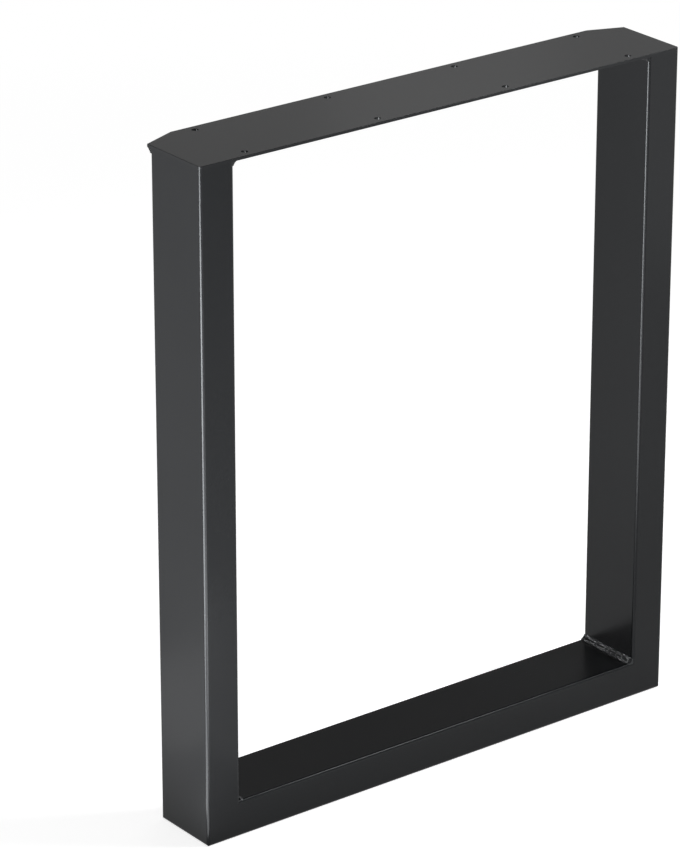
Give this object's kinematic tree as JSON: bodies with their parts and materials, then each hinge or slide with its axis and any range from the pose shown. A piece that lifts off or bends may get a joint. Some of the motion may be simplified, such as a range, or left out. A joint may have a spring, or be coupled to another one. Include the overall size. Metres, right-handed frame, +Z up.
{
  "type": "u shaped table leg",
  "caption": "Closed U-shaped steel table leg of mitred rectangular tube with a drilled plate that screws under a table top.",
  "frame": {"origin": "middle of the floor rail's underside, on the floor", "axes": "+X along the width of the leg, +Y to the back, where the plate stands out behind the tubes, +Z up to the table top"},
  "size_m": [0.6, 0.1, 0.72],
  "materials": {
    "black_powder_coat": "satin black powder coat on steel tube",
    "plate_powder_coat": "satin black powder coat on flat steel plate",
    "coated_weld": "powder coat over rippled weld bead"
  },
  "bodies": {
    "root": {"left_upright": "black_powder_coat", "right_upright": "black_powder_coat", "floor_rail": "black_powder_coat", "top_plate": "plate_powder_coat", "left_corner_weld": "coated_weld", "right_corner_weld": "coated_weld", "left_plate_weld": "coated_weld", "right_plate_weld": "coated_weld"}
  },
  "joints": []
}
